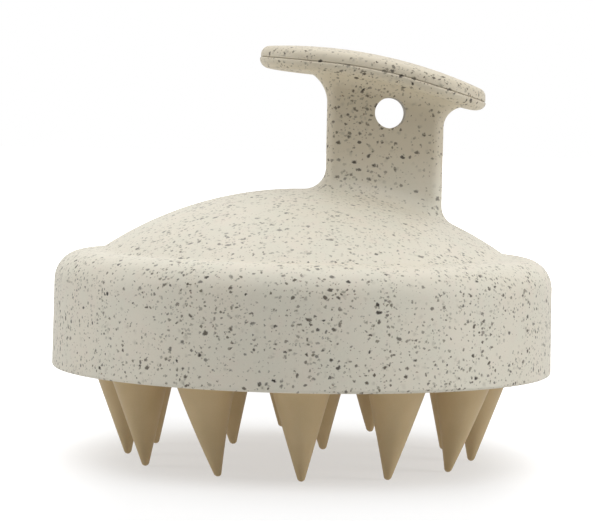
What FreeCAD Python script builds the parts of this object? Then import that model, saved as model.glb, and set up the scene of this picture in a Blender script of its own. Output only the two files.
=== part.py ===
import FreeCAD, Part
import math
import os

# Scalp massager brush: a round domed body on soft conical bristles, with a
# T-shaped finger grip that stands on the dome a little to the right of centre.
# Millimetres, +Z up. The origin is on the body's round axis, in the plane that
# the outer bristle tips stand on. +X runs along the grip towards its short arm.

V = FreeCAD.Vector

# Body shell
BODY_RADIUS = 42.5          # at the open bottom edge
BODY_DRAFT = 0.15           # how much narrower the band is at its shoulder
BODY_BOTTOM_Z = 15.45
RIM_TOP_Z = 35.05
SHOULDER_RADIUS = 5.0
DOME_RADIUS = 60.6
DOME_SUMMIT_Z = 46.1
DOME_FOOT_BLEND = 2.5       # soft concave corner between the rim and the dome
WALL = 2.2
EDGE_ROUND = 0.5

# Stem of the grip
STEM_X_MIN = 3.5
STEM_X_MAX = 23.2
STEM_DEPTH = 10.0
STEM_CORNER = 2.0
STEM_WALL = 2.0
STEM_ROOT_BLEND = 3.7
STEM_TOP_BLEND_LONG_ARM = 5.9
STEM_TOP_BLEND_SHORT_ARM = 3.5
STEM_TOP_BLEND_FACE = 2.6   # on the two wide faces, so that it stays clear of the hole

# Hanging hole through the stem
HOLE_X = 14.1
HOLE_Z = 59.25
HOLE_RADIUS = 2.6
HOLE_SLEEVE_WALL = 1.8
HOLE_SLEEVE_LENGTH = 8.0

# Finger plate on top of the stem: bent about an axis parallel to Y, and its top,
# seam and underside all droop alike towards the long edges
PLATE_X_MIN = -8.1
PLATE_X_MAX = 30.4
PLATE_WIDTH = 27.0
PLATE_CORNER = 12.0
PLATE_THICKNESS = 3.65
PLATE_BEND_X = -2.3
PLATE_BEND_RADIUS = 79.0    # of the top face along its middle
PLATE_TOP_Z = 70.32
PLATE_CROWN = 1.15          # how far the long edges droop below the middle
PLATE_EDGE_ROUND = 1.5
CAP_THICKNESS = 1.75
CAP_SEAM = 0.06
CAP_STEP = 0.15             # how far the flange stands out beyond the cap
CAP_LIP_ROUND = 0.12        # softened edges of cap and flange along the seam
FLANGE_LIP_ROUND = 0.35
CAP_SKIRT_DEPTH = 1.6
CAP_SKIRT_WALL = 1.3
CAP_SKIRT_CLEARANCE = 0.2

# Silicone pad and the plate that carries it
PAD_FACE_Z = 16.65
PAD_THICKNESS = 4.0
PAD_CLEARANCE = 0.25
PAD_EDGE_ROUND = 0.8
CARRIER_CLEARANCE = 0.35
CARRIER_THICKNESS = 2.0
CARRIER_GAP = 0.15
CARRIER_BEAD = 0.6
BEAD_CLEARANCE = 0.15
RIB_COUNT = 6
RIB_THICKNESS = 1.5
RIB_HEIGHT = 3.0
RIB_INNER_RADIUS = 6.0
RIB_OUTER_RADIUS = 36.0
LEDGE_DEPTH = 1.6
LEDGE_HEIGHT = 1.6
PLUG_CIRCLE_RADIUS = 23.5
PLUG_RADIUS = 2.2
PLUG_CLEARANCE = 0.15
PLUG_HEAD_RADIUS = 3.4
PLUG_HEAD_HEIGHT = 1.4

# Bristles: cones that stand in round seats in the pad
BRISTLE_TIP_HALF_WIDTH = 0.5
BRISTLE_TAPER = 0.285       # half-width gained per millimetre from the tip
SEAT_CLEARANCE = 0.15
OUTER_COUNT = 12
OUTER_TIP_RADIUS = 29.4
OUTER_ROOT_RADIUS = 30.8
OUTER_TIP_Z = 0.0
OUTER_PHASE = 0.0
OUTER_PIVOT_DEPTH = 5.0     # pivot's distance from the pad face, along the bristle
INNER_COUNT = 6
INNER_TIP_RADIUS = 15.5
INNER_ROOT_RADIUS = 16.4
INNER_TIP_Z = 3.4
INNER_PHASE = 12.0
INNER_PIVOT_DEPTH = 4.1

# Sideways set (along X) that the soft bristles have taken at their tips
TIP_SET = {
    "bristle_outer_01": 0.3,
    "bristle_outer_02": -0.5,
    "bristle_outer_03": -0.9,
    "bristle_outer_12": 1.6,
    "bristle_inner_01": 0.6,
    "bristle_inner_03": 0.8,
    "bristle_inner_06": 0.4,
}

# Derived
BORE_RADIUS = BODY_RADIUS - WALL
DOME_CENTRE_Z = DOME_SUMMIT_Z - DOME_RADIUS
SHOULDER_X = BODY_RADIUS - BODY_DRAFT - SHOULDER_RADIUS
SHOULDER_Z = RIM_TOP_Z - SHOULDER_RADIUS
STEM_MID_X = (STEM_X_MIN + STEM_X_MAX) / 2
STEM_LENGTH = STEM_X_MAX - STEM_X_MIN
PLATE_BEND_Z = PLATE_TOP_Z - PLATE_BEND_RADIUS
PLATE_MID_X = (PLATE_X_MIN + PLATE_X_MAX) / 2
PLATE_LENGTH = PLATE_X_MAX - PLATE_X_MIN
PLATE_UNDER_RADIUS = PLATE_BEND_RADIUS - PLATE_THICKNESS
PLATE_REACH = 35            # degrees of bend that cover the plate on either side
CROWN_RADIUS = ((PLATE_WIDTH / 2) ** 2 + PLATE_CROWN ** 2) / (2 * PLATE_CROWN)
SEAM_RADIUS = PLATE_BEND_RADIUS - CAP_THICKNESS
PAD_RADIUS = BORE_RADIUS - PAD_CLEARANCE
PAD_BACK_Z = PAD_FACE_Z + PAD_THICKNESS
CARRIER_Z = PAD_BACK_Z + CARRIER_GAP
CARRIER_BACK_Z = CARRIER_Z + CARRIER_THICKNESS
CARRIER_RADIUS = BORE_RADIUS - CARRIER_CLEARANCE
LEDGE_Z = CARRIER_BACK_Z + CARRIER_GAP
BEAD_Z = CARRIER_Z + CARRIER_THICKNESS / 2


def on_circle(radius, azimuth, z):
    """Point on a circle about the body axis; azimuth 0 is -Y, 90 is +X."""
    angle = math.radians(azimuth)
    return V(radius * math.sin(angle), -radius * math.cos(angle), z)


def arc(start, middle, end):
    return Part.Arc(start, middle, end).toShape()


def revolved(edges, base=V(0, 0, 0), axis=V(0, 0, 1), degrees=360):
    face = Part.Face(Part.Wire(edges))
    return face.revolve(base, axis, degrees)


def rounded_prism(mid_x, length, depth, corner, z_low, z_high):
    """Upright block, centred on (mid_x, 0), with rounded vertical corners."""
    block = Part.makeBox(
        length, depth, z_high - z_low, V(mid_x - length / 2, -depth / 2, z_low)
    )
    uprights = [e for e in block.Edges if abs(e.tangentAt(e.FirstParameter).z) > 0.9]
    return block.makeFillet(corner, uprights)


def droop(y):
    """How far a crowned surface lies below its middle at this distance from it."""
    return CROWN_RADIUS - math.sqrt(CROWN_RADIUS ** 2 - y ** 2)


def crowned_block(radius, half_width):
    """All that lies below a bent and crowned surface of the finger plate."""
    floor_z = PLATE_BEND_Z + PLATE_BEND_RADIUS / 2
    top_z = PLATE_BEND_Z + radius
    side_z = top_z - droop(half_width)
    front_low = V(PLATE_BEND_X, -half_width, floor_z)
    back_low = V(PLATE_BEND_X, half_width, floor_z)
    front_side = V(PLATE_BEND_X, -half_width, side_z)
    back_side = V(PLATE_BEND_X, half_width, side_z)
    section = Part.Face(Part.Wire([
        Part.makeLine(front_low, back_low),
        Part.makeLine(back_low, back_side),
        arc(back_side, V(PLATE_BEND_X, 0, top_z), front_side),
        Part.makeLine(front_side, front_low),
    ]))
    axis_point = V(PLATE_BEND_X, 0, PLATE_BEND_Z)
    section.rotate(axis_point, V(0, 1, 0), -PLATE_REACH)
    return section.revolve(axis_point, V(0, 1, 0), 2 * PLATE_REACH).Solids[0]


def dome_radius_at(z, radius):
    return math.sqrt(radius ** 2 - (z - DOME_CENTRE_Z) ** 2)


def body_outside():
    """Solid of revolution: drafted band, round shoulder, flat rim and dome."""
    foot = V(dome_radius_at(RIM_TOP_Z, DOME_RADIUS), 0, RIM_TOP_Z)
    summit = V(0, 0, DOME_SUMMIT_Z)
    half_z = (RIM_TOP_Z + DOME_SUMMIT_Z) / 2
    on_dome = V(dome_radius_at(half_z, DOME_RADIUS), 0, half_z)
    shoulder_low = V(SHOULDER_X + SHOULDER_RADIUS, 0, SHOULDER_Z)
    shoulder_mid = V(
        SHOULDER_X + SHOULDER_RADIUS * math.cos(math.pi / 4),
        0,
        SHOULDER_Z + SHOULDER_RADIUS * math.sin(math.pi / 4),
    )
    shoulder_top = V(SHOULDER_X, 0, RIM_TOP_Z)
    bottom_in = V(0, 0, BODY_BOTTOM_Z)
    bottom_out = V(BODY_RADIUS, 0, BODY_BOTTOM_Z)
    solid = revolved([
        Part.makeLine(bottom_in, bottom_out),
        Part.makeLine(bottom_out, shoulder_low),
        arc(shoulder_low, shoulder_mid, shoulder_top),
        Part.makeLine(shoulder_top, foot),
        arc(foot, on_dome, summit),
        Part.makeLine(summit, bottom_in),
    ])
    foot_edges = [
        e for e in solid.Edges
        if e.BoundBox.ZLength < 0.01 and abs(e.BoundBox.XMax - foot.x) < 0.01
    ]
    return solid.makeFillet(DOME_FOOT_BLEND, foot_edges)


def body_inside():
    """The shell's round hollow, one wall thickness inside its outside."""
    inner_shoulder = SHOULDER_RADIUS - WALL
    inner_dome = DOME_RADIUS - WALL
    ceiling_z = RIM_TOP_Z - WALL
    corner_x = BORE_RADIUS - inner_shoulder
    low_z = BODY_BOTTOM_Z - 1
    foot = V(dome_radius_at(ceiling_z, inner_dome), 0, ceiling_z)
    summit = V(0, 0, DOME_SUMMIT_Z - WALL)
    half_z = (ceiling_z + summit.z) / 2
    on_dome = V(dome_radius_at(half_z, inner_dome), 0, half_z)
    side_top = V(BORE_RADIUS, 0, ceiling_z - inner_shoulder)
    corner_mid = V(
        corner_x + inner_shoulder * math.cos(math.pi / 4),
        0,
        side_top.z + inner_shoulder * math.sin(math.pi / 4),
    )
    corner_top = V(corner_x, 0, ceiling_z)
    low_in = V(0, 0, low_z)
    low_out = V(BORE_RADIUS, 0, low_z)
    hollow = revolved([
        Part.makeLine(low_in, low_out),
        Part.makeLine(low_out, side_top),
        arc(side_top, corner_mid, corner_top),
        Part.makeLine(corner_top, foot),
        arc(foot, on_dome, summit),
        Part.makeLine(summit, low_in),
    ])
    ledge = ring(BORE_RADIUS - LEDGE_DEPTH, BORE_RADIUS + 1, LEDGE_Z, LEDGE_HEIGHT)
    groove = Part.makeTorus(CARRIER_RADIUS, CARRIER_BEAD + BEAD_CLEARANCE, V(0, 0, BEAD_Z))
    return hollow.cut(ledge).fuse(groove)


def ring(inner, outer, z, height):
    tube = Part.makeCylinder(outer, height, V(0, 0, z))
    return tube.cut(Part.makeCylinder(inner, height, V(0, 0, z)))


def plate_blank(inset):
    """Whole finger plate with its outline drawn in; the seam divides it afterwards."""
    top = crowned_block(PLATE_BEND_RADIUS, PLATE_WIDTH)
    slab = top.cut(crowned_block(PLATE_UNDER_RADIUS, PLATE_WIDTH + 1))
    length = PLATE_LENGTH - 2 * inset
    width = PLATE_WIDTH - 2 * inset
    corner = PLATE_CORNER - inset
    outline = rounded_prism(PLATE_MID_X, length, width, corner, DOME_SUMMIT_Z, PLATE_TOP_Z + 1)
    plate = slab.common(outline).Solids[0]
    rims = [e for e in plate.Edges if e.BoundBox.XLength + e.BoundBox.YLength > 0.01]
    return plate.makeFillet(PLATE_EDGE_ROUND, rims)


def seam_edges(solid, radius):
    """Edges of the finger plate that lie on one of its crowned surfaces."""
    found = []
    for edge in solid.Edges:
        middle = edge.valueAt((edge.FirstParameter + edge.LastParameter) / 2)
        distance = math.hypot(middle.x - PLATE_BEND_X, middle.z - PLATE_BEND_Z)
        if abs(distance + droop(middle.y) - radius) < 0.01:
            found.append(edge)
    return found


def flange():
    """Lower part of the finger plate, with a softened edge along the seam."""
    lower = plate_blank(0).common(crowned_block(SEAM_RADIUS, PLATE_WIDTH))
    return lower.makeFillet(FLANGE_LIP_ROUND, seam_edges(lower, SEAM_RADIUS))


def handle_cap():
    """Top of the finger plate, with a skirt that locates it in the hollow stem."""
    low_radius = SEAM_RADIUS + CAP_SEAM
    top = plate_blank(CAP_STEP).cut(crowned_block(low_radius, PLATE_WIDTH))
    top = top.makeFillet(CAP_LIP_ROUND, seam_edges(top, low_radius))
    length = STEM_LENGTH - 2 * (STEM_WALL + CAP_SKIRT_CLEARANCE)
    depth = STEM_DEPTH - 2 * (STEM_WALL + CAP_SKIRT_CLEARANCE)
    z_low = PLATE_TOP_Z - 4 * PLATE_THICKNESS
    skirt = rounded_prism(STEM_MID_X, length, depth, 0.8, z_low, PLATE_TOP_Z)
    inner = rounded_prism(
        STEM_MID_X, length - 2 * CAP_SKIRT_WALL, depth - 2 * CAP_SKIRT_WALL, 0.4,
        z_low, PLATE_TOP_Z,
    )
    skirt = skirt.cut(inner)
    skirt = skirt.common(crowned_block(SEAM_RADIUS + CAP_THICKNESS / 2, PLATE_WIDTH))
    skirt = skirt.cut(crowned_block(SEAM_RADIUS - CAP_SKIRT_DEPTH, PLATE_WIDTH))
    return top.fuse(skirt).removeSplitter()


def stem_outside():
    """Stem from inside the dome up into the flange of the finger plate."""
    block = rounded_prism(
        STEM_MID_X, STEM_LENGTH, STEM_DEPTH, STEM_CORNER, RIM_TOP_Z, PLATE_TOP_Z
    )
    return block.common(crowned_block(PLATE_UNDER_RADIUS + 0.5, PLATE_WIDTH))


def touches_stem(edge):
    """True for an edge that lies round the outline of the stem."""
    box = edge.BoundBox
    inside_x = box.XMin > STEM_X_MIN - 0.1 and box.XMax < STEM_X_MAX + 0.1
    inside_y = box.YMax < STEM_DEPTH / 2 + 0.1 and box.YMin > -STEM_DEPTH / 2 - 0.1
    level = box.ZLength < 0.8 * max(box.XLength, box.YLength) + 0.5
    return inside_x and inside_y and level


def top_blend_radius(point):
    """Blend radius under the finger plate at a place on the stem's outline."""
    if point.x < STEM_X_MIN + 0.1:
        return STEM_TOP_BLEND_LONG_ARM
    if point.x > STEM_X_MAX - 0.1:
        return STEM_TOP_BLEND_SHORT_ARM
    return STEM_TOP_BLEND_FACE


def top_blend_radii(edge):
    """Blend radius at the start and at the end of an edge round the top of the stem."""
    ends = edge.firstVertex(True).Point, edge.lastVertex(True).Point
    return tuple(top_blend_radius(point) for point in ends)


def with_top_blend(solid):
    """Rounds the corner under the finger plate, widest below its long arm."""
    document = FreeCAD.newDocument("blend")
    base = document.addObject("Part::Feature", "base")
    base.Shape = solid
    blend = document.addObject("Part::Fillet", "blend")
    blend.Base = base
    blend.Edges = [
        (number,) + top_blend_radii(edge)
        for number, edge in enumerate(solid.Edges, 1)
        if touches_stem(edge) and edge.BoundBox.ZMin > HOLE_Z
    ]
    document.recompute()
    return blend.Shape.Solids[0]


def blended_outside():
    """Body, stem and flange in one, with the soft blends where they meet."""
    solid = body_outside().fuse([stem_outside(), flange()]).removeSplitter()
    root_edges = [
        e for e in solid.Edges if touches_stem(e) and e.BoundBox.ZMax < HOLE_Z
    ]
    solid = solid.makeFillet(STEM_ROOT_BLEND, root_edges)
    return with_top_blend(solid)


def hanging_hole(radius):
    base = V(HOLE_X, -STEM_DEPTH, HOLE_Z)
    return Part.makeCylinder(radius, 2 * STEM_DEPTH, base, V(0, 1, 0))


def hole_sleeve():
    """Tube that lines the hanging hole where it crosses the hollow stem."""
    base = V(HOLE_X, -HOLE_SLEEVE_LENGTH / 2, HOLE_Z)
    return Part.makeCylinder(
        HOLE_RADIUS + HOLE_SLEEVE_WALL, HOLE_SLEEVE_LENGTH, base, V(0, 1, 0)
    )


def stem_inside():
    """Hollow of the stem, open into the dome below and under the cap above."""
    length = STEM_LENGTH - 2 * STEM_WALL
    depth = STEM_DEPTH - 2 * STEM_WALL
    low_z = DOME_SUMMIT_Z - 3 * WALL
    return rounded_prism(STEM_MID_X, length, depth, 1.0, low_z, PLATE_TOP_Z)


def body_shell():
    """One moulding: dome, band, hollow stem and the flange of the finger plate."""
    solid = blended_outside().cut(body_inside()).cut(stem_inside())
    solid = solid.fuse(hole_sleeve()).cut(hanging_hole(HOLE_RADIUS)).removeSplitter()
    mouth = [
        e for e in solid.Edges
        if abs(e.BoundBox.ZMax - BODY_BOTTOM_Z) < 0.01 and e.BoundBox.ZLength < 0.01
    ]
    return solid.makeFillet(EDGE_ROUND, mouth)


def carrier_rib(azimuth):
    rib = Part.makeBox(
        RIB_OUTER_RADIUS - RIB_INNER_RADIUS, RIB_THICKNESS, RIB_HEIGHT + CARRIER_THICKNESS / 2,
        V(RIB_INNER_RADIUS, -RIB_THICKNESS / 2, BEAD_Z),
    )
    rib.rotate(V(0, 0, 0), V(0, 0, 1), azimuth)
    return rib


def plug_centres(z):
    """Plugs stand half-way between the ribs."""
    step = 360 / RIB_COUNT
    return [on_circle(PLUG_CIRCLE_RADIUS, step * i, z) for i in range(RIB_COUNT)]


def carrier_plate():
    """Ribbed disc behind the pad; its round bead snaps into the shell's groove."""
    disc = Part.makeCylinder(CARRIER_RADIUS, CARRIER_THICKNESS, V(0, 0, CARRIER_Z))
    bead = Part.makeTorus(CARRIER_RADIUS, CARRIER_BEAD, V(0, 0, BEAD_Z))
    hub = ring(
        RIB_INNER_RADIUS - RIB_THICKNESS / 2, RIB_INNER_RADIUS + RIB_THICKNESS / 2,
        BEAD_Z, RIB_HEIGHT + CARRIER_THICKNESS / 2,
    )
    ribs = [carrier_rib(360 / RIB_COUNT * i) for i in range(RIB_COUNT)]
    solid = disc.fuse([bead, hub] + ribs)
    for centre in plug_centres(CARRIER_Z - 1):
        radius = PLUG_RADIUS + PLUG_CLEARANCE
        solid = solid.cut(Part.makeCylinder(radius, CARRIER_THICKNESS + 2, centre))
    return solid.removeSplitter()


def leaning(name, root, tip, pivot_depth):
    """One entry of the layout, with the tip moved by its set."""
    return name, root, tip + V(TIP_SET.get(name, 0.0), 0, 0), pivot_depth


def bristle_layout():
    """Name, root, tip and pivot depth of every bristle."""
    layout = []
    for i in range(OUTER_COUNT):
        azimuth = OUTER_PHASE + i * 360 / OUTER_COUNT
        root = on_circle(OUTER_ROOT_RADIUS, azimuth, PAD_FACE_Z)
        tip = on_circle(OUTER_TIP_RADIUS, azimuth, OUTER_TIP_Z)
        name = "bristle_outer_%02d" % (i + 1)
        layout.append(leaning(name, root, tip, OUTER_PIVOT_DEPTH))
    for i in range(INNER_COUNT):
        azimuth = INNER_PHASE + i * 360 / INNER_COUNT
        root = on_circle(INNER_ROOT_RADIUS, azimuth, PAD_FACE_Z)
        tip = on_circle(INNER_TIP_RADIUS, azimuth, INNER_TIP_Z)
        name = "bristle_inner_%02d" % (i + 1)
        layout.append(leaning(name, root, tip, INNER_PIVOT_DEPTH))
    root = V(0, 0, PAD_FACE_Z)
    tip = V(0, 0, INNER_TIP_Z)
    layout.append(leaning("bristle_centre", root, tip, INNER_PIVOT_DEPTH))
    return layout


def root_half_width(root, tip):
    return BRISTLE_TIP_HALF_WIDTH + BRISTLE_TAPER * (root - tip).Length


def root_ball(root, tip, pivot_depth):
    """Pivot point of a bristle and the radius of its round root about it."""
    direction = (tip - root).normalize()
    pivot = root + direction * pivot_depth
    radius = math.hypot(pivot_depth, root_half_width(root, tip))
    return pivot, radius


def silicone_pad():
    """Pad with a round seat for each bristle and mushroom plugs on its back."""
    solid = Part.makeCylinder(PAD_RADIUS, PAD_THICKNESS, V(0, 0, PAD_FACE_Z))
    face_edge = [e for e in solid.Edges if e.BoundBox.ZMax < PAD_FACE_Z + 0.01]
    solid = solid.makeFillet(PAD_EDGE_ROUND, face_edge)
    neck_height = CARRIER_THICKNESS + 2 * CARRIER_GAP
    for centre in plug_centres(PAD_BACK_Z - 0.5):
        solid = solid.fuse(Part.makeCylinder(PLUG_RADIUS, neck_height + 1, centre))
    for centre in plug_centres(PAD_BACK_Z + neck_height):
        head = Part.makeCylinder(PLUG_HEAD_RADIUS, PLUG_HEAD_HEIGHT, centre)
        top_edge = [e for e in head.Edges if e.BoundBox.ZMin > centre.z + 0.5]
        top_edge = [e for e in top_edge if e.BoundBox.ZLength < 0.01]
        solid = solid.fuse(head.makeFillet(0.8, top_edge))
    for _, root, tip, pivot_depth in bristle_layout():
        pivot, radius = root_ball(root, tip, pivot_depth)
        solid = solid.cut(Part.makeSphere(radius + SEAT_CLEARANCE, pivot))
    return solid.removeSplitter()


def bristle(root, tip, pivot_depth):
    """Cone with a round tip and a round root, made upright and then leaned."""
    length = (root - tip).Length
    slope = math.atan(BRISTLE_TAPER)
    nose = BRISTLE_TIP_HALF_WIDTH / (math.hypot(1, BRISTLE_TAPER) - BRISTLE_TAPER)
    half_width = root_half_width(root, tip)
    _, ball = root_ball(root, tip, pivot_depth)
    pivot_z = length - pivot_depth
    low = V(0, 0, 0)
    nose_side = V(nose * math.cos(slope), 0, nose - nose * math.sin(slope))
    half = (math.pi / 2 - slope) / 2
    nose_mid = V(nose * math.sin(half), 0, nose - nose * math.cos(half))
    shoulder = V(half_width, 0, length)
    crown = V(0, 0, pivot_z + ball)
    lean = math.atan2(half_width, pivot_depth) / 2
    crown_mid = V(ball * math.sin(lean), 0, pivot_z + ball * math.cos(lean))
    solid = revolved([
        arc(low, nose_mid, nose_side),
        Part.makeLine(nose_side, shoulder),
        arc(shoulder, crown_mid, crown),
        Part.makeLine(crown, low),
    ])
    turn = FreeCAD.Rotation(V(0, 0, 1), root - tip)
    solid.Placement = FreeCAD.Placement(tip, turn)
    return solid


def write(name, shape):
    shape.exportStep(os.path.join("parts", name + ".step"))


os.makedirs("parts", exist_ok=True)
write("body_shell", body_shell())
write("handle_cap", handle_cap())
write("carrier_plate", carrier_plate())
write("silicone_pad", silicone_pad())
for name, root, tip, pivot_depth in bristle_layout():
    write(name, bristle(root, tip, pivot_depth))
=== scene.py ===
import math

import bpy
from mathutils import Matrix, Vector


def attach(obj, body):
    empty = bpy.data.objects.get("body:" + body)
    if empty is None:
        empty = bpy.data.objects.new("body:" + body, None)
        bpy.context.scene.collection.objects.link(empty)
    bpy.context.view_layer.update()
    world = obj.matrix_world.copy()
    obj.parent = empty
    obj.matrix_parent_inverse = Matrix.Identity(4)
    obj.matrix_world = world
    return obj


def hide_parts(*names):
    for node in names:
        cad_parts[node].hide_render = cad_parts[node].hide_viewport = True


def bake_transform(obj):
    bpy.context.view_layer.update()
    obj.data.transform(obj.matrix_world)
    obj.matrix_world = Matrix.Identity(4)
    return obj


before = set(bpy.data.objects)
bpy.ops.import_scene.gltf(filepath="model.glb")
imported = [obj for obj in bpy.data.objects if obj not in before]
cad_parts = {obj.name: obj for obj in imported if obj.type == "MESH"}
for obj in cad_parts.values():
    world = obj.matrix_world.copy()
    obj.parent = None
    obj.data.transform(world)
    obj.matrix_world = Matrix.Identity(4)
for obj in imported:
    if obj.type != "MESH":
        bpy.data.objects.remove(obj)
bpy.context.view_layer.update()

MM = 0.001
FULL_TURN = 6.283   # radians

# Bristles and the pad's face, as the CAD has them (millimetres)
TIP_HALF_WIDTH = 0.5
TAPER = 0.285
PAD_FACE_Z = 16.65
OUTER = dict(count=12, tip_radius=29.4, root_radius=30.8, tip_z=0.0, phase=0.0)
INNER = dict(count=6, tip_radius=15.5, root_radius=16.4, tip_z=3.4, phase=12.0)
# Sideways set (along X) of the tips, as in the CAD
TIP_SET = {
    "outer_01": 0.3, "outer_02": -0.5, "outer_03": -0.9, "outer_12": 1.6,
    "inner_01": 0.6, "inner_03": 0.8, "inner_06": 0.4,
}

# How the bristles' skin is shaped
SET_CURVE = 1.6      # the higher, the nearer to the tip the sideways set lies
ROOT_FLARE = 1.1     # how far the root widens into the pad (mm)
FLARE_HEIGHT = 2.2   # over what height it does so (mm)
NOSE_STEPS = 8
CONE_STEPS = 26
FLARE_STEPS = 10
RING_STEPS = 48
PAD_RING_STEPS = 128
AXIS_RADIUS = 0.02   # smallest ring, so that no point lies on the axis (mm)


def link(obj):
    bpy.context.scene.collection.objects.link(obj)
    return obj


def mesh_object(name, verts, faces, smooth=True):
    mesh = bpy.data.meshes.new(name)
    mesh.from_pydata(verts, [], faces)
    mesh.update()
    for poly in mesh.polygons:
        poly.use_smooth = smooth
    return link(bpy.data.objects.new(name, mesh))


def lathe(name, profile, steps, closed_start=False):
    """Mesh of revolution about Z from (radius, z) points, in millimetres."""
    verts, faces = [], []
    for r, z in profile:
        for i in range(steps):
            a = 2 * math.pi * i / steps
            verts.append((r * math.cos(a) * MM, r * math.sin(a) * MM, z * MM))
    for k in range(len(profile) - 1):
        low, high = k * steps, (k + 1) * steps
        for i in range(steps):
            j = (i + 1) % steps
            faces.append((low + i, low + j, high + j, high + i))
    if closed_start:
        faces.append(tuple(reversed(range(steps))))
    return mesh_object(name, verts, faces)


# ---------------------------------------------------------------- materials

class Nodes:
    """Short hand for building a node tree."""

    def __init__(self, name):
        self.material = bpy.data.materials.new(name)
        self.material.use_nodes = True
        self.tree = self.material.node_tree
        self.shader = self.tree.nodes["Principled BSDF"]

    def add(self, kind, **settings):
        node = self.tree.nodes.new(kind)
        for key, value in settings.items():
            setattr(node, key, value)
        return node

    def join(self, out, into):
        self.tree.links.new(out, into)

    def put(self, socket, value):
        if hasattr(value, "is_output"):
            self.join(value, socket)
        else:
            socket.default_value = value

    def math(self, operation, a, b=0.0):
        node = self.add("ShaderNodeMath", operation=operation)
        self.put(node.inputs[0], a)
        self.put(node.inputs[1], b)
        return node.outputs[0]

    def ramp(self, value, low, high, to_low=0.0, to_high=1.0, smooth=False):
        node = self.add("ShaderNodeMapRange", clamp=True)
        if smooth:
            node.interpolation_type = "SMOOTHSTEP"
        self.put(node.inputs["Value"], value)
        self.put(node.inputs["From Min"], low)
        self.put(node.inputs["From Max"], high)
        self.put(node.inputs["To Min"], to_low)
        self.put(node.inputs["To Max"], to_high)
        return node.outputs["Result"]

    def blend(self, factor, a, b):
        node = self.add("ShaderNodeMix", data_type="RGBA")
        self.put(node.inputs["Factor"], factor)
        self.put(node.inputs[6], a)
        self.put(node.inputs[7], b)
        return node.outputs[2]

    def noise(self, coords, cells_per_mm, detail=2.0, rough=0.5):
        node = self.add("ShaderNodeTexNoise")
        self.join(coords, node.inputs["Vector"])
        node.inputs["Scale"].default_value = cells_per_mm / MM
        node.inputs["Detail"].default_value = detail
        node.inputs["Roughness"].default_value = rough
        return node

    def bump(self, height, distance_mm, strength):
        node = self.add("ShaderNodeBump")
        node.inputs["Distance"].default_value = distance_mm * MM
        node.inputs["Strength"].default_value = strength
        self.join(height, node.inputs["Height"])
        return node.outputs["Normal"]


def fleck_layer(n, coords, cell, long, wide, share, soft, offset):
    """Fibre specks: one in each chosen Voronoi cell, each turned its own way.

    cell is the cells' size, long and wide are the speck's half-lengths (mm).
    Returns the mask and two chance values that are constant within a speck.
    """
    mapping = n.add("ShaderNodeMapping")
    n.join(coords, mapping.inputs["Vector"])
    mapping.inputs["Location"].default_value = offset
    mapping.inputs["Scale"].default_value = [1 / (cell * MM)] * 3
    cells = n.add("ShaderNodeTexVoronoi", feature="F1")
    n.join(mapping.outputs[0], cells.inputs["Vector"])
    cells.inputs["Scale"].default_value = 1.0
    cells.inputs["Randomness"].default_value = 1.0
    away = n.add("ShaderNodeVectorMath", operation="SUBTRACT")
    n.join(mapping.outputs[0], away.inputs[0])
    n.join(cells.outputs["Position"], away.inputs[1])
    lots = n.add("ShaderNodeTexWhiteNoise", noise_dimensions="3D")
    n.join(cells.outputs["Position"], lots.inputs["Vector"])
    axis = n.add("ShaderNodeVectorMath", operation="SUBTRACT")
    n.join(lots.outputs["Color"], axis.inputs[0])
    axis.inputs[1].default_value = (0.5, 0.5, 0.5)
    turned = n.add("ShaderNodeVectorRotate", rotation_type="AXIS_ANGLE")
    n.join(away.outputs[0], turned.inputs["Vector"])
    n.join(axis.outputs[0], turned.inputs["Axis"])
    angle = n.math("MULTIPLY", lots.outputs["Value"], FULL_TURN)
    n.join(angle, turned.inputs["Angle"])
    shaped = n.add("ShaderNodeVectorMath", operation="MULTIPLY")
    n.join(turned.outputs[0], shaped.inputs[0])
    shaped.inputs[1].default_value = (cell / long, cell / wide, cell / wide)
    reach = n.add("ShaderNodeVectorMath", operation="LENGTH")
    n.join(shaped.outputs[0], reach.inputs[0])
    draw = n.add("ShaderNodeSeparateColor")
    n.join(cells.outputs["Color"], draw.inputs[0])
    size = n.ramp(draw.outputs[1], 0.0, 1.0, 0.5, 1.0)
    inner = n.math("MULTIPLY", size, 1.0 - soft)
    spot = n.ramp(reach.outputs["Value"], inner, size, 1.0, 0.0, smooth=True)
    chosen = n.math("LESS_THAN", draw.outputs[0], share)
    return n.math("MULTIPLY", spot, chosen), draw.outputs[2], lots.outputs["Value"]


def crowding_and_painted_shade(n, coords):
    """How thick the fibre lies: patchy, and more or less at the listed places; the
    places on the stem's front are painted shade.
    """
    patches = n.noise(coords, 0.13, detail=2.0)
    crowd_and_painted_shade = n.ramp(patches.outputs["Fac"], 0.36, 0.64, 0.4, 1.15)
    for centre, reach, change in CROWDS_AND_PAINTED_SHADE:
        gap = n.add("ShaderNodeVectorMath", operation="DISTANCE")
        n.join(coords, gap.inputs[0])
        gap.inputs[1].default_value = [v * MM for v in centre]
        near = n.ramp(gap.outputs["Value"], 0.0, reach * MM, change, 0.0, smooth=True)
        crowd_and_painted_shade = n.math("ADD", crowd_and_painted_shade, near)
    return n.math("MAXIMUM", crowd_and_painted_shade, LEAST_CROWD)


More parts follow.
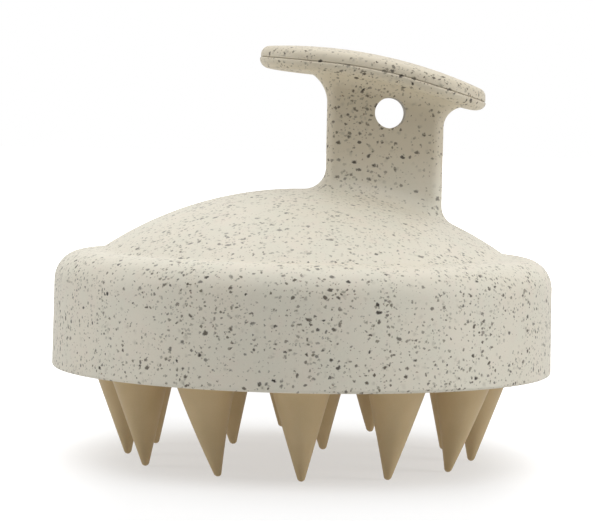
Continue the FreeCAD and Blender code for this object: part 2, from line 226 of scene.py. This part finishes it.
def flecked_plastic(name, tone):
    """Satin ivory plastic filled with fine plant fibre.

    The fibre shows a little less on the dome than on the band and the stem. The stem
    and finger plate carry painted shade: their colour is blended towards a darker,
    browner tone.
    """
    n = Nodes(name)
    coords = n.add("ShaderNodeTexCoord").outputs["Object"]
    place = n.add("ShaderNodeSeparateXYZ")
    n.join(coords, place.inputs[0])
    band = n.ramp(place.outputs["Z"], 38 * MM, 33 * MM, 0.0, 1.0)
    grip = n.ramp(place.outputs["Z"], 46 * MM, 53 * MM, 0.0, 1.0)
    shown = n.ramp(n.math("MAXIMUM", band, grip), 0.0, 1.0, 0.7, 1.0)
    # painted shade on the stem's front comes in here as extra dark specks
    crowd_and_painted_shade = crowding_and_painted_shade(n, coords)

    cloud = n.noise(coords, 0.16, detail=3.0)
    mottle = n.ramp(cloud.outputs["Fac"], 0.35, 0.65)
    base = n.blend(mottle, tone["warm"], tone["cool"])
    blush = n.noise(coords, 0.42, detail=2.0)
    rosiness = n.ramp(blush.outputs["Fac"], 0.52, 0.72, 0.0, 0.4)
    base = n.blend(rosiness, base, tone["rosy"])
    speck = n.noise(coords, 3.5, detail=2.0)
    paleness = n.ramp(speck.outputs["Fac"], 0.3, 0.7, 0.0, 0.35)
    base = n.blend(paleness, base, tone["pale"])
    # painted shade: the stem and finger plate are blended towards a darker, browner
    # tone
    base = n.blend(n.math("MULTIPLY", grip, 0.75), base, tone["grip"])

    wobble = n.noise(coords, 2.6, detail=1.0)
    centred = n.add("ShaderNodeVectorMath", operation="SUBTRACT")
    n.join(wobble.outputs["Color"], centred.inputs[0])
    centred.inputs[1].default_value = (0.5, 0.5, 0.5)
    scaled = n.add("ShaderNodeVectorMath", operation="SCALE")
    n.join(centred.outputs[0], scaled.inputs[0])
    scaled.inputs["Scale"].default_value = RAGGEDNESS * MM
    ragged = n.add("ShaderNodeVectorMath", operation="ADD")
    n.join(coords, ragged.inputs[0])
    n.join(scaled.outputs[0], ragged.inputs[1])

    dark = 0.0
    for cell, long, wide, share, soft, low, high, tones, offset in FLECKS:
        chance = n.math("MULTIPLY", crowd_and_painted_shade, share)
        mask, lot, other = fleck_layer(
            n, ragged.outputs[0], cell, long, wide, chance, soft, offset
        )
        cover = n.math("MULTIPLY", mask, n.ramp(lot, 0.0, 1.0, low, high))
        cover = n.math("MULTIPLY", cover, shown)
        tint = n.blend(n.ramp(other, 0.3, 0.7), tone[tones[0]], tone[tones[1]])
        base = n.blend(cover, base, tint)
        dark = n.math("MAXIMUM", cover, dark)
    n.join(base, n.shader.inputs["Base Color"])

    rough = n.ramp(cloud.outputs["Fac"], 0.3, 0.7, 0.44, 0.54)
    rough = n.math("ADD", rough, n.math("MULTIPLY", dark, 0.12))
    n.join(rough, n.shader.inputs["Roughness"])
    n.shader.inputs["IOR"].default_value = 1.47
    grain = n.noise(coords, 2.2, detail=3.0, rough=0.6)
    n.join(n.bump(grain.outputs["Fac"], 0.03, 0.35), n.shader.inputs["Normal"])
    return n.material


def silicone(name, tone):
    """Soft tan silicone with a fine satin skin and a little dust."""
    n = Nodes(name)
    coords = n.add("ShaderNodeTexCoord").outputs["Object"]
    cloud = n.noise(coords, 0.2, detail=3.0)
    base = n.blend(n.ramp(cloud.outputs["Fac"], 0.3, 0.7), tone["deep"], tone["light"])
    dust = n.noise(coords, 4.0, detail=4.0, rough=0.65)
    dusty = n.ramp(dust.outputs["Fac"], 0.55, 0.75, 0.0, 0.25)
    base = n.blend(dusty, base, tone["dust"])
    n.join(base, n.shader.inputs["Base Color"])
    rough = n.ramp(cloud.outputs["Fac"], 0.3, 0.7, 0.42, 0.52)
    n.join(rough, n.shader.inputs["Roughness"])
    n.shader.inputs["IOR"].default_value = 1.41
    n.shader.inputs["Subsurface Weight"].default_value = 0.12
    n.shader.inputs["Subsurface Radius"].default_value = (1.0, 0.6, 0.35)
    n.shader.inputs["Subsurface Scale"].default_value = 1.2 * MM
    grain = n.noise(coords, 3.0, detail=3.0, rough=0.6)
    n.join(n.bump(grain.outputs["Fac"], 0.02, 0.3), n.shader.inputs["Normal"])
    return n.material


IVORY = dict(
    warm=(0.79, 0.735, 0.615, 1), cool=(0.755, 0.725, 0.61, 1),
    pale=(0.84, 0.80, 0.69, 1), rosy=(0.78, 0.69, 0.59, 1),
    # grip: painted shade, a darker, browner tone for the stem and finger plate
    grip=(0.68, 0.60, 0.455, 1), grey=(0.40, 0.37, 0.29, 1),
    olive=(0.20, 0.18, 0.125, 1), rust=(0.24, 0.15, 0.095, 1),
    umber=(0.10, 0.078, 0.052, 1), black=(0.045, 0.036, 0.027, 1),
)
TAN = dict(
    deep=(0.60, 0.458, 0.255, 1), light=(0.65, 0.50, 0.29, 1),
    dust=(0.70, 0.58, 0.40, 1),
)
# Fibre layers: cell, half-length and half-width (mm), share of cells, edge softness,
# faintest and strongest cover, the two tones, and where the pattern starts
FLECKS = (
    (1.20, 0.80, 0.55, 0.60, 0.9, 0.15, 0.50, ("grey", "grey"), (3.1, 7.7, 1.3)),
    (0.50, 0.28, 0.16, 0.62, 0.5, 0.30, 0.85, ("olive", "rust"), (8.3, 2.9, 4.1)),
    (0.78, 0.50, 0.30, 0.85, 0.5, 0.35, 0.95, ("umber", "olive"), (1.7, 5.2, 9.4)),
    (1.20, 0.66, 0.42, 0.60, 0.5, 0.60, 1.00, ("black", "umber"), (6.6, 0.8, 2.5)),
)
LEAST_CROWD = 0.12   # share of the fibre that is left where it is thinnest
RAGGEDNESS = 0.45    # how far the specks' edges are pushed about (mm)
# Places with more or fewer dark specks: centre and reach (mm), change. The two on the
# stem's front are painted shade: more specks at its upper left under the finger plate,
# fewer to its right; the two on the band's front make it darker there.
CROWDS_AND_PAINTED_SHADE = (
    # stem's front: painted shade
    ((8.5, -5, 58), 11.0, 0.75), ((19.0, -5, 53), 10.0, -0.55),
    ((-16.0, -40, 28), 9.0, 0.4), ((10.0, -42, 29), 9.0, 0.4),
)
PLASTIC = flecked_plastic("flecked_plastic", IVORY)
RUBBER = silicone("tan_silicone", TAN)


def paint(obj, material):
    if obj.material_slots:
        for holder in obj.material_slots:
            holder.material = material
    else:
        obj.data.materials.append(material)


for node in ("body_shell", "handle_cap", "carrier_plate"):
    paint(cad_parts[node], PLASTIC)


# ---------------------------------------------------------------- silicone

def on_circle(radius, azimuth, z):
    a = math.radians(azimuth)
    return Vector((radius * math.sin(a), -radius * math.cos(a), z))


def bristle_profile(length):
    """(radius, height above the tip), from the tip to the flared root."""
    slope = math.atan(TAPER)
    nose = TIP_HALF_WIDTH / (math.hypot(1, TAPER) - TAPER)
    points = []
    for i in range(NOSE_STEPS + 1):
        a = (math.pi / 2 - slope) * i / NOSE_STEPS
        points.append((nose * math.sin(a), nose - nose * math.cos(a)))
    points[0] = (AXIS_RADIUS, 0.0)
    start = points[-1][1]
    flare_start = length - FLARE_HEIGHT
    for i in range(1, CONE_STEPS + 1):
        h = start + (flare_start - start) * i / CONE_STEPS
        points.append((TIP_HALF_WIDTH + TAPER * h, h))
    end_r = TIP_HALF_WIDTH + TAPER * length + ROOT_FLARE
    for i in range(1, FLARE_STEPS + 1):
        t = i / FLARE_STEPS
        ease = 1 - math.sqrt(1 - t * t)
        h = flare_start + (length - flare_start) * t
        straight = TIP_HALF_WIDTH + TAPER * h
        points.append((straight + (end_r - TIP_HALF_WIDTH - TAPER * length) * ease, h))
    return points


def bristle(name, body, root, tip):
    """One silicone bristle, bent sideways along X by its TIP_SET, more towards the
    tip.
    """
    length = (root - tip).length
    obj = lathe(name, bristle_profile(length), RING_STEPS, closed_start=True)
    turn = Vector((0, 0, 1)).rotation_difference((root - tip).normalized())
    obj.data.transform(Matrix.Translation(tip * MM) @ turn.to_matrix().to_4x4())
    for vert in obj.data.vertices:
        share = max(0.0, 1 - (vert.co.z / MM - tip.z) / (root.z - tip.z))
        vert.co.x += TIP_SET.get(body, 0.0) * MM * share ** SET_CURVE
    paint(obj, RUBBER)
    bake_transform(obj)
    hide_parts("bristle_" + body)


for ring, kind in ((OUTER, "outer"), (INNER, "inner")):
    for i in range(ring["count"]):
        azimuth = ring["phase"] + 360 * i / ring["count"]
        body = "%s_%02d" % (kind, i + 1)
        root = on_circle(ring["root_radius"], azimuth, PAD_FACE_Z)
        tip = on_circle(ring["tip_radius"], azimuth, ring["tip_z"])
        bristle("silicone_bristle_" + body, body, root, tip)
bristle(
    "silicone_bristle_centre", "centre",
    Vector((0, 0, PAD_FACE_Z)), Vector((0, 0, INNER["tip_z"])),
)

FACE = PAD_FACE_Z - 0.05   # the skin lies just below the CAD's face
BACK = PAD_FACE_Z + 4.0
pad = lathe(
    "silicone_pad_skin",
    [(AXIS_RADIUS, FACE), (10, FACE), (20, FACE), (30, FACE), (37.6, FACE),
     (38.1, FACE + 0.05), (38.4, FACE + 0.25), (38.8, FACE + 0.25),
     (39.1, FACE + 0.05), (39.5, FACE + 0.07), (39.85, FACE + 0.25),
     (40.03, FACE + 0.65), (40.03, BACK - 0.1), (39.9, BACK), (AXIS_RADIUS, BACK)],
    PAD_RING_STEPS,
)
paint(pad, RUBBER)
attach(pad, "brush_body")
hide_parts("silicone_pad")


# ---------------------------------------------------------------- studio

# The floor's own glow, as the camera sees it: it rises from NEAR to FAR over REACH
# (metres from the origin), and by BESIDE to both sides. Other rays, which light the
# brush, meet OTHER_RAYS. The world is seen and lights in the same two ways.
GLOW_NEAR, GLOW_FAR, GLOW_REACH = 0.53, 1.3, (0.12, 0.45)
GLOW_BESIDE, BESIDE_REACH = 0.42, (0.024, 0.06)
GLOW_OTHER_RAYS = 0.27
WORLD_SEEN, WORLD_LIGHT = 1.0, 0.03

floor = mesh_object(
    "floor", [(-3, -3, 0), (3, -3, 0), (3, 6, 0), (-3, 6, 0)],
    [(0, 1, 2, 3)], smooth=False,
)
f = Nodes("white_floor")
f_coords = f.add("ShaderNodeTexCoord").outputs["Object"]
f_cloud = f.noise(f_coords, 0.02, detail=2.0)
f.join(
    f.blend(f_cloud.outputs["Fac"], (0.44, 0.44, 0.44, 1), (0.46, 0.46, 0.46, 1)),
    f.shader.inputs["Base Color"],
)
f.shader.inputs["Roughness"].default_value = 0.9
f.shader.inputs["Specular IOR Level"].default_value = 0.1
f.shader.inputs["Emission Color"].default_value = (1, 1, 1, 1)
f_gap = f.add("ShaderNodeVectorMath", operation="LENGTH")
f.join(f_coords, f_gap.inputs[0])
f_far = f.ramp(
    f_gap.outputs["Value"], *GLOW_REACH, GLOW_NEAR, GLOW_FAR, smooth=True
)
f_place = f.add("ShaderNodeSeparateXYZ")
f.join(f_coords, f_place.inputs[0])
f_side = f.math("ABSOLUTE", f_place.outputs["X"])
f_beside = f.ramp(f_side, *BESIDE_REACH, 0.0, GLOW_BESIDE, smooth=True)
f_glow = f.math("ADD", f_far, f_beside)
f_seen = f.add("ShaderNodeLightPath").outputs["Is Camera Ray"]
f_shown = f.ramp(f_seen, 0.0, 1.0, GLOW_OTHER_RAYS, f_glow)
f.join(f_shown, f.shader.inputs["Emission Strength"])
paint(floor, f.material)

world = bpy.data.worlds.new("studio")
bpy.context.scene.world = world
world.use_nodes = True
w = world.node_tree
background = w.nodes["Background"]
background.inputs["Color"].default_value = (1, 1, 1, 1)
seen = w.nodes.new("ShaderNodeLightPath")
level = w.nodes.new("ShaderNodeMapRange")
w.links.new(seen.outputs["Is Camera Ray"], level.inputs["Value"])
level.inputs["To Min"].default_value = WORLD_LIGHT
level.inputs["To Max"].default_value = WORLD_SEEN
w.links.new(level.outputs["Result"], background.inputs["Strength"])


def softbox(name, place, aim, size, watts):
    """A soft rectangular lamp that the camera doesn't see; metres and watts."""
    lamp = bpy.data.lights.new(name, "AREA")
    lamp.shape = "RECTANGLE"
    lamp.size, lamp.size_y = size
    lamp.energy = watts
    obj = link(bpy.data.objects.new(name, lamp))
    obj.location = place
    obj.rotation_mode = "QUATERNION"
    obj.rotation_quaternion = (Vector(aim) - Vector(place)).to_track_quat("-Z", "Y")
    obj.visible_camera = False


softbox(
    "top_box", place=(0.0, 0.05, 0.7), aim=(0, 0, 0.03),
    size=(1.0, 1.0), watts=5.2,
)
softbox(
    "backdrop", place=(0.0, 0.6, 0.25), aim=(0, 0, 0.04),
    size=(1.4, 0.7), watts=2.5,
)
softbox(
    "front_box", place=(0.0, -0.4, 0.5), aim=(0, 0, 0.03),
    size=(0.4, 0.3), watts=0.62,
)
softbox(
    "left_box", place=(-0.5, 0.0, 0.2), aim=(0, 0, 0.03),
    size=(0.25, 0.4), watts=0.75,
)
softbox(
    "right_box", place=(0.5, -0.1, 0.2), aim=(0, 0, 0.03),
    size=(0.25, 0.4), watts=1.05,
)

# ---------------------------------------------------------------- camera

CAMERA_ELEVATION = 3.0   # degrees
CAMERA_DISTANCE = 0.42   # metres
CAMERA_LENS = 148.7      # mm
CAMERA_SENSOR = 36.0     # mm
CAMERA_ROLL = 1.2        # degrees
LOOK_AT = Vector((-1.02, 0.0, 33.78)) * MM

cam_data = bpy.data.cameras.new("camera")
cam_data.lens = CAMERA_LENS
cam_data.sensor_width = CAMERA_SENSOR
camera = link(bpy.data.objects.new("camera", cam_data))
lift = math.radians(CAMERA_ELEVATION)
back = Vector((0, -math.cos(lift), math.sin(lift)))
camera.location = LOOK_AT + back * CAMERA_DISTANCE
camera.rotation_mode = "QUATERNION"
aim = (-back).to_track_quat("-Z", "Y")
roll = Matrix.Rotation(math.radians(CAMERA_ROLL), 4, "Z").to_quaternion()
camera.rotation_quaternion = aim @ roll
cam_data.clip_start = 0.01
cam_data.clip_end = 20
bpy.context.scene.camera = camera
bpy.context.scene.view_settings.view_transform = "Standard"
